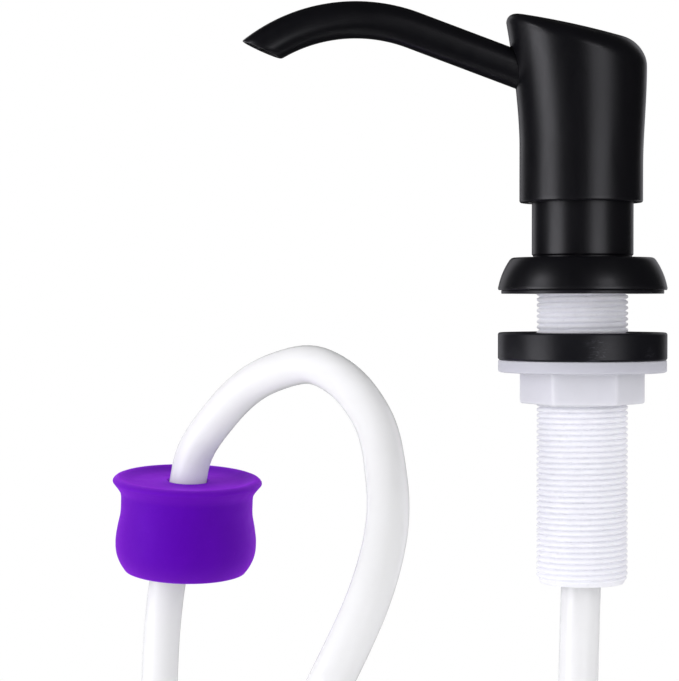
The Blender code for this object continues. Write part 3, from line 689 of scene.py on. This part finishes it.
def thread_rows(turns, low, high, root, reach, phase=0.0):
    """Rows that climb with the thread between two heights, one pitch a turn. The thread stands out
    from the root radius by reach, and fades within a turn of either end. phase is where its middle
    lies, in pitches."""
    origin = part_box("threaded_shank")[0].z + THREAD_START
    first = math.floor((low - origin) / THREAD_PITCH) - 1
    last = math.ceil((high - origin) / THREAD_PITCH) + 1
    rows = []
    for index in range(first * THREAD_ROWS, last * THREAD_ROWS + 1):
        in_pitch = (index / THREAD_ROWS - phase) % 1.0
        crest = smoothstep((1 - abs(2 * in_pitch - 1) + THREAD_FLANK_LEAD) / THREAD_FLANK)
        row = []
        for turn in [*turns, turns[0] + math.tau]:
            z = origin + THREAD_PITCH * (index / THREAD_ROWS + turn / math.tau)
            fade = smoothstep((z - low) / THREAD_PITCH) * smoothstep((high - z) / THREAD_PITCH)
            z = min(high, max(low, z))
            radius = root + reach * crest * fade
            row.append(Vector((radius * math.cos(turn), radius * math.sin(turn), z)))
        rows.append(row)
    return rows


def seamed_ring(radius, z, turns):
    row = ring(radius, z, turns)
    return [*row, row[0].copy()]


def make_shank():
    low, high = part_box("threaded_shank")
    crest, bore, land = 0.01375, 0.011, 0.0004
    root = crest - THREAD_DEPTH
    turns = turns_of(96)
    rows = thread_rows(turns, low.z + land, high.z - land, root, THREAD_DEPTH)
    ends = [
        (root - 0.0003, high.z),
        (bore + 0.0003, high.z),
        (bore, high.z - 0.0003),
        (bore, (low.z + high.z) / 2),
        (bore, low.z + 0.0004),
        (bore + 0.0004, low.z),
        (root - 0.0003, low.z),
    ]
    rows += [seamed_ring(r, z, turns) for r, z in ends]
    mesh = skin("hollow_threaded_shank", rows, closed=True, seam=True)
    piece("hollow_threaded_shank", mesh, WHITE, "root", "threaded_shank")


def make_under_gasket():
    low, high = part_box("under_gasket")
    inner, edge = 0.0141, 0.0007
    corners = [
        (inner, high.z, 0.0003),
        (inner, low.z, 0.0003),
        (high.x, low.z, edge),
        (high.x, high.z, edge),
    ]
    turned("thick_gasket", rounded(corners), RUBBER, "gasket", "under_gasket")


def hexagon(apothem, corner, z):
    """A hexagon with rounded corners, as a row of points that starts at angle 0."""
    arc_steps, flat_steps = 8, 10
    reach = (apothem - corner) / math.cos(math.pi / 6)
    points = []
    for index in range(6):
        turn = math.pi / 3 * index
        middle = Vector((reach * math.cos(turn), reach * math.sin(turn), z))
        for step in range(arc_steps + 1):
            bend = turn + math.pi / 3 * (step / arc_steps - 0.5)
            points.append(middle + corner * Vector((math.cos(bend), math.sin(bend), 0)))
        following = turn + math.pi / 3
        ahead = Vector((reach * math.cos(following), reach * math.sin(following), z))
        bend = turn + math.pi / 6
        ahead += corner * Vector((math.cos(bend), math.sin(bend), 0))
        points += [points[-1].lerp(ahead, step / flat_steps) for step in range(1, flat_steps)]
    return points


def make_nut():
    low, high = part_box("lock_nut")
    flange = 0.0254
    flange_bottom = high.z - NUT_FLANGE_THICKNESS
    high.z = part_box("under_gasket")[0].z - CONTACT
    apothem = NUT_ACROSS_CORNERS / 2 * math.cos(math.pi / 6)
    corner = 0.0016
    # The columns' angles follow the rounded hexagon, turned as the nut stands.
    outline = hexagon(apothem, corner, 0)
    shift = next(i for i, p in enumerate(outline) if math.atan2(p.y, p.x) >= 0)
    outline = outline[shift:] + outline[:shift]
    turns = [math.atan2(p.y, p.x) % math.tau for p in outline]
    reaches = [p.length for p in outline]

    def hex_row(inset, z):
        row = [Vector((math.cos(t), math.sin(t), 0)) * (r - inset) for t, r in zip(turns, reaches)]
        row = [Vector((p.x, p.y, z)) for p in row]
        return [*row, row[0].copy()]

    root = 0.0143
    rows = thread_rows(turns, low.z + 0.0008, high.z - 0.0008, root, -THREAD_DEPTH * 1.15, 0.5)
    flange_rows = [
        (root + 0.0005, high.z),
        (flange - 0.0004, high.z),
        (flange - 0.00012, high.z - 0.00012),
        (flange, high.z - 0.0004),
        (flange, flange_bottom + 0.0006),
        (flange - 0.00018, flange_bottom + 0.00018),
        (flange - 0.0006, flange_bottom),
    ]
    rows += [seamed_ring(r, z, turns) for r, z in flange_rows]
    rows += [hex_row(-0.0007, flange_bottom), hex_row(-0.0002, flange_bottom - 0.0002)]
    rows += [hex_row(0, flange_bottom - 0.0008), hex_row(0, low.z + 0.0006)]
    rows += [hex_row(0.0002, low.z + 0.0002), hex_row(0.0007, low.z)]
    rows += [seamed_ring(root + 0.0006, low.z, turns)]
    mesh = skin("flanged_lock_nut", rows, closed=True, seam=True)
    mesh.transform(Matrix.Rotation(NUT_TURNED_BY, 4, "Z"))
    piece("flanged_lock_nut", mesh, NUT_WHITE, "nut", "lock_nut")


make_escutcheon()
make_deck_seal()
make_shank()
make_under_gasket()
make_nut()


# The collar and the head.


def make_collar():
    low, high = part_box("guide_collar")
    wall, bore = 0.0153, 0.0133
    ledge_bore, ledge_top = 0.0096, 0.0130
    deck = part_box("escutcheon")[1].z + CONTACT
    corners = [
        (ledge_bore, low.z),
        (bore - 0.0004, low.z),
        (bore - 0.0004, deck),
        (wall - 0.0004, deck, 0.0001),
        (wall - 0.0004, deck + 0.0005, 0.0001),
        (wall, deck + 0.0009, 0.0002),
        (wall, high.z, 0.0006),
        (bore, high.z, 0.0005),
        (bore, ledge_top),
        (ledge_bore, ledge_top),
    ]
    turned("head_collar", rounded(corners), BLACK, "root", "guide_collar")


def head_wall(turn, z):
    """The point of the head's wall at a height, in the direction of a turn from the back."""
    rise = max(0.0, (z - HEAD_FRONT_FLARE_FROM) / HEAD_FRONT_FLARE_OVER)
    front = HEAD_FRONT + HEAD_FRONT_FLARE * rise**HEAD_FRONT_GROWTH
    back = HEAD_BACK + HEAD_BACK_FLARE * smoothstep((z - HEAD_BACK_FLARE_FROM) / HEAD_BACK_FLARE_OVER)
    x = (back - front) / 2 + (back + front) / 2 * math.cos(turn)
    return Vector((x, HEAD_HALF_WIDTH * math.sin(turn), z))


def head_top(x, y):
    return HEAD_TOP + HEAD_TOP_SLOPE * x - HEAD_CROWN_ALONG * x**2 - HEAD_CROWN_ACROSS * y**2


def make_head():
    """Rings run from the socket's roof down the inside, out under the rim, up the wall and over the
    rounded edge to the middle of the top."""
    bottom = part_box("head_shell")[0].z
    turns = turns_of(ROUND_SIDES)
    hollow = [
        (HEAD_SOCKET_RADIUS, HEAD_SOCKET_TOP),
        (HEAD_SOCKET_RADIUS, HEAD_CAVITY_TOP + 0.0006),
        (HEAD_SOCKET_RADIUS + 0.0006, HEAD_CAVITY_TOP),
        (HEAD_CAVITY_RADIUS - 0.0010, HEAD_CAVITY_TOP),
        (HEAD_CAVITY_RADIUS - 0.0003, HEAD_CAVITY_TOP - 0.0003),
        (HEAD_CAVITY_RADIUS, HEAD_CAVITY_TOP - 0.0010),
        (HEAD_CAVITY_RADIUS, bottom + 0.0003),
        (HEAD_CAVITY_RADIUS + 0.0003, bottom),
    ]
    rows = [[Vector((0, 0, HEAD_SOCKET_TOP))]] + [ring(r, z, turns) for r, z in hollow]
    lower_edge, lower_edge_steps = 0.0006, 4
    foot = [head_wall(turn, bottom) for turn in turns]
    for step in range(1, lower_edge_steps + 1):
        bend = math.pi / 2 * step / lower_edge_steps
        inset = 1 - lower_edge * (1 - math.sin(bend)) / HEAD_HALF_WIDTH
        z = bottom + lower_edge * (1 - math.cos(bend))
        rows.append([Vector((p.x * inset, p.y * inset, z)) for p in foot])
    edge = []
    for turn in turns:
        grown = ((1 + math.cos(turn)) / 2) ** HEAD_EDGE_GROWTH
        radius = HEAD_EDGE_FRONT + (HEAD_EDGE_BACK - HEAD_EDGE_FRONT) * grown
        # The wall ends a radius below the sloping top, which is found by closing in on it.
        end = head_wall(turn, HEAD_TOP)
        for _ in range(6):
            end = head_wall(turn, head_top(end.x, end.y) - radius)
        edge.append((turn, radius, end))
    wall_rows = 48
    low = bottom + lower_edge
    for row in range(1, wall_rows + 1):
        rows.append([head_wall(turn, low + (end.z - low) * row / wall_rows) for turn, _, end in edge])
    edge_steps = 12
    for step in range(1, edge_steps + 1):
        bend = math.pi / 2 * step / edge_steps
        points = []
        for _, radius, end in edge:
            inward = 1 - radius * (1 - math.cos(bend)) / math.hypot(end.x, end.y)
            x, y = end.x * inward, end.y * inward
            points.append(Vector((x, y, head_top(x, y) - radius * (1 - math.sin(bend)))))
        rows.append(points)
    brim = rows[-1]
    for inward in (0.92, 0.84, 0.74, 0.62, 0.48, 0.34, 0.2, 0.1):
        inner = [(point.x * inward, point.y * inward) for point in brim]
        rows.append([Vector((x, y, head_top(x, y))) for x, y in inner])
    rows.append([Vector((0, 0, head_top(0, 0)))])
    head = piece("head_body", skin("head_body", rows), BLACK, "head", "head_shell")
    cut_spout_hole(head)


def cut_spout_hole(head):
    """Opens the wall where the spout goes in, with a little clearance."""
    rings = [spout_ring(x, SPOUT_RADIUS + GAP, SMALL_SIDES) for x in (-0.0045, -0.032)]
    bar = bpy.data.objects.new("spout_hole_bar", skin_with_ends("spout_hole_bar", rings))
    bpy.context.scene.collection.objects.link(bar)
    cut = head.modifiers.new("spout_hole", "BOOLEAN")
    cut.object = bar
    cut.operation = "DIFFERENCE"
    cut.solver = "EXACT"
    graph = bpy.context.evaluated_depsgraph_get()
    mesh = bpy.data.meshes.new_from_object(head.evaluated_get(graph))
    head.modifiers.remove(cut)
    head.data = smooth(mesh)
    bpy.data.objects.remove(bar)


def skin_with_ends(name, rings):
    """A closed mesh through rings, with a pole in the middle of the first and the last."""
    first, last = ([sum(row, Vector()) / len(row)] for row in (rings[0], rings[-1]))
    return skin(name, [first, *rings, last])


# The spout.


def ring_across(middle, along, radius, sides):
    """A ring square to a direction in the plane of the spout's bend."""
    up = Vector((0, 1, 0)).cross(along)
    return [
        middle + Vector((0, 1, 0)) * radius * math.cos(turn) + up * radius * math.sin(turn)
        for turn in turns_of(sides)
    ]


def spout_bend_centre():
    return SPOUT_PEAK - Vector((0, 0, SPOUT_BEND))


def spout_ring(x, radius, sides):
    """A ring square to the straight part of the centreline, where that passes x."""
    start = spout_bend_centre() + SPOUT_BEND * Vector((math.sin(SPOUT_SLOPE), 0, math.cos(SPOUT_SLOPE)))
    along = Vector((-math.cos(SPOUT_SLOPE), 0, math.sin(SPOUT_SLOPE)))
    return ring_across(start + along * (start.x - x) / math.cos(SPOUT_SLOPE), along, radius, sides)


def spout_wall(radius, sides, back_from_tip, inset):
    """Rings of a wall that follows the spout's centreline and ends in the mouth's plane, inset by a
    distance along its normal. Each point keeps its own angle round the bend's centre."""
    rings = [spout_ring(x, radius, sides) for x in (SPOUT_ROOT_X, -0.018, -0.028, -0.038, -0.046)]
    centre = spout_bend_centre()
    tip_turn = -SPOUT_TIP_FALL + back_from_tip / SPOUT_BEND
    tip = centre + SPOUT_BEND * Vector((math.sin(tip_turn), 0, math.cos(tip_turn)))
    mouth = Vector((-math.sin(SPOUT_MOUTH_TILT), 0, -math.cos(SPOUT_MOUTH_TILT)))
    tip = tip - mouth * inset
    ends = []
    for round_turn in turns_of(sides):
        # A point at this place on the section moves on a circle round the bend's centre.
        y, lift = radius * math.cos(round_turn), radius * math.sin(round_turn)
        reach = SPOUT_BEND + lift
        # Halved until only the turn is left at which the point meets the mouth's plane.
        low, high = 0.0, SPOUT_SLOPE + SPOUT_TIP_FALL + 0.6
        for _ in range(40):
            middle = (low + high) / 2
            turn = SPOUT_SLOPE - middle
            point = centre + Vector((reach * math.sin(turn), y, reach * math.cos(turn)))
            low, high = (middle, high) if (point - tip).dot(mouth) < 0 else (low, middle)
        ends.append((y, reach, low))
    steps = 40  # rows of the bend
    for step in range(steps + 1):
        row = []
        for y, reach, end in ends:
            turn = SPOUT_SLOPE - end * step / steps
            row.append(centre + Vector((reach * math.sin(turn), y, reach * math.cos(turn))))
        rings.append(row)
    return rings


def make_spout():
    lip = 0.0004  # the rounding of the mouth's edges
    outer = spout_wall(SPOUT_RADIUS, SMALL_SIDES, 0, lip)
    edge_out = spout_wall(SPOUT_RADIUS - lip * 0.3, SMALL_SIDES, 0, lip * 0.3)[-1]
    flat_out = spout_wall(SPOUT_RADIUS - lip, SMALL_SIDES, 0, 0)[-1]
    inner = spout_wall(SPOUT_BORE, SMALL_SIDES, 0, lip * 0.6)
    flat_in = spout_wall(SPOUT_BORE + lip * 0.6, SMALL_SIDES, 0, 0)[-1]
    rows = outer + [edge_out, flat_out, flat_in] + inner[::-1]
    piece("spout_pipe", skin("spout_pipe", rows, closed=True), BLACK, "head", "spout_tube")
    liner_sides = 48
    rows = spout_wall(LINER_RADIUS, liner_sides, LINER_RECESS, 0)
    rows += spout_wall(LINER_BORE, liner_sides, LINER_RECESS, 0)[::-1]
    piece("spout_lining", skin("spout_lining", rows, closed=True), NATURAL, "head", "spout_liner")


make_collar()
make_head()
make_spout()


# The pump inside.


def make_spring():
    """A coil with closed end turns."""
    low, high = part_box("return_spring")
    wire, mean = 0.00045, 0.0046
    turns, per_turn = 8.5, 40
    flattened = 0.11  # how much flatter the end turns lie than the middle ones
    count = round(turns * per_turn)
    first, rise = low.z + wire, high.z - low.z - 2 * wire
    path = []
    for index in range(count + 1):
        part = index / count
        z = first + rise * (part - flattened * math.sin(math.tau * part) / math.tau)
        turn = math.tau * turns * part
        path.append(Vector((mean * math.cos(turn), mean * math.sin(turn), z)))
    rings = sweep(path, [wire] * len(path), 12, Vector((0, 0, 1)))
    rows = [[path[0]], *rings, [path[-1]]]
    coil = piece("coil_spring", skin("coil_spring", rows), STEEL, "root", "return_spring")
    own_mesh(coil)


make_spring()

CAD_FINISHES = {
    "pump_housing": NATURAL,
    "retaining_cap": NATURAL,
    "housing_gasket": RUBBER,
    "ball_cage": NATURAL,
    "pump_stem": NATURAL,
    "piston": RUBBER,
    "spring_seat": NATURAL,
    "head_adapter": NATURAL,
    "inlet_ball": STEEL,
    "outlet_ball": STEEL,
}
for name, material in CAD_FINISHES.items():
    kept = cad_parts[name]
    for slot in kept.material_slots:
        slot.material = material


# The floor, the lights and the world.


def make_floor():
    """A pale floor that fades into the white background."""
    material = bpy.data.materials.new("pale_floor")
    material.use_nodes = True
    tree = material.node_tree
    shader = tree.nodes["Principled BSDF"]
    shader.inputs["Roughness"].default_value = 0.8
    shader.inputs["Specular IOR Level"].default_value = 0.1
    colour = blended(tree, noise(tree, 3, 2), (0.86, 0.86, 0.86), (0.90, 0.90, 0.90))
    tree.links.new(colour, shader.inputs["Base Color"])
    place = node(tree, "ShaderNodeTexCoord").outputs["Object"]
    distance = node(tree, "ShaderNodeVectorMath", {0: place}, operation="LENGTH").outputs["Value"]
    fade = spread(tree, distance, FLOOR_FADE_FROM, FLOOR_RADIUS * 0.85, 0.0, 1.0)
    glow = node(tree, "ShaderNodeEmission", {"Color": (1, 1, 1, 1), "Strength": 1.0})
    mix = node(tree, "ShaderNodeMixShader", {0: fade, 1: shader.outputs[0], 2: glow.outputs[0]})
    tree.links.new(mix.outputs[0], tree.nodes["Material Output"].inputs["Surface"])
    rows = [[Vector((0, 0, 0))]]
    rows += [ring(FLOOR_RADIUS * part / 12, 0, turns_of(96)) for part in range(1, 13)]
    mesh = skin("floor", rows)
    mesh.materials.append(material)
    floor = bpy.data.objects.new("floor", mesh)
    floor.location = ((CAD_BOX[0].x + CAD_BOX[1].x) / 2, 0, FLOOR_HEIGHT)
    bpy.context.scene.collection.objects.link(floor)
    floor.visible_glossy = False


def softbox(name, bearing, height, distance, size, radiance, mirrored=True):
    """A softbox in the direction of a bearing from -Y towards +X, aimed at the object."""
    data = bpy.data.lights.new(name, "AREA")
    data.shape = "RECTANGLE"
    data.size, data.size_y = size
    data.energy = radiance * math.pi * size[0] * size[1]
    data.color = SOFTBOX_COLOUR
    light = bpy.data.objects.new(name, data)
    turn = math.radians(bearing)
    light.location = (distance * math.sin(turn), -distance * math.cos(turn), height)
    light.rotation_euler = (light.location - SOFTBOX_AIM).to_track_quat("Z", "Y").to_euler()
    light.visible_camera = False
    light.visible_glossy = mirrored
    bpy.context.scene.collection.objects.link(light)


def make_world():
    """White behind the object, and a dimmer fill on it."""
    world = bpy.data.worlds.new("studio")
    bpy.context.scene.world = world
    world.use_nodes = True
    tree = world.node_tree
    paths = node(tree, "ShaderNodeLightPath")
    seen = node(
        tree,
        "ShaderNodeMath",
        {0: paths.outputs["Is Camera Ray"], 1: paths.outputs["Is Transmission Ray"]},
        operation="MAXIMUM",
    ).outputs[0]
    fill = spread(tree, paths.outputs["Is Glossy Ray"], 0, 1, 0.76, 0.03)
    strength = node(tree, "ShaderNodeMix", {0: seen, 2: fill, 3: 1.0}, data_type="FLOAT").outputs[0]
    background = tree.nodes["Background"]
    background.inputs["Color"].default_value = (1, 1, 1, 1)
    tree.links.new(strength, background.inputs["Strength"])


make_floor()
# The strips are what the black surfaces mirror. Each is dimmer above the head's height, and has a
# bright top that makes the streaks on the head's upper edge.
for side, bearing, radiance in (("left", -68.4, 3.4), ("right", 29.0, 2.4)):
    softbox(side + "_strip", bearing, -0.23, 1.2, (0.70, 0.64), radiance)
    softbox(side + "_strip_middle", bearing, 0.27, 1.2, (0.70, 0.36), radiance * 0.5)
    softbox(side + "_strip_top", bearing, 0.62, 1.15, (0.45, 0.22), radiance * 1.3)
softbox("back_left_strip", -152.0, 0.10, 1.2, (0.5, 1.3), 0.6)
softbox("back_right_strip", 150.0, 0.10, 1.2, (0.5, 1.3), 0.6)
# These light the pale surfaces without being mirrored.
softbox("left_key", -62.0, 0.0, 1.3, (0.9, 1.2), 1.5, mirrored=False)
softbox("right_fill", 75.0, -0.1, 1.3, (0.9, 1.2), 0.3, mirrored=False)
make_world()
bpy.context.scene.view_settings.view_transform = "Standard"
bpy.context.scene.view_settings.look = "None"
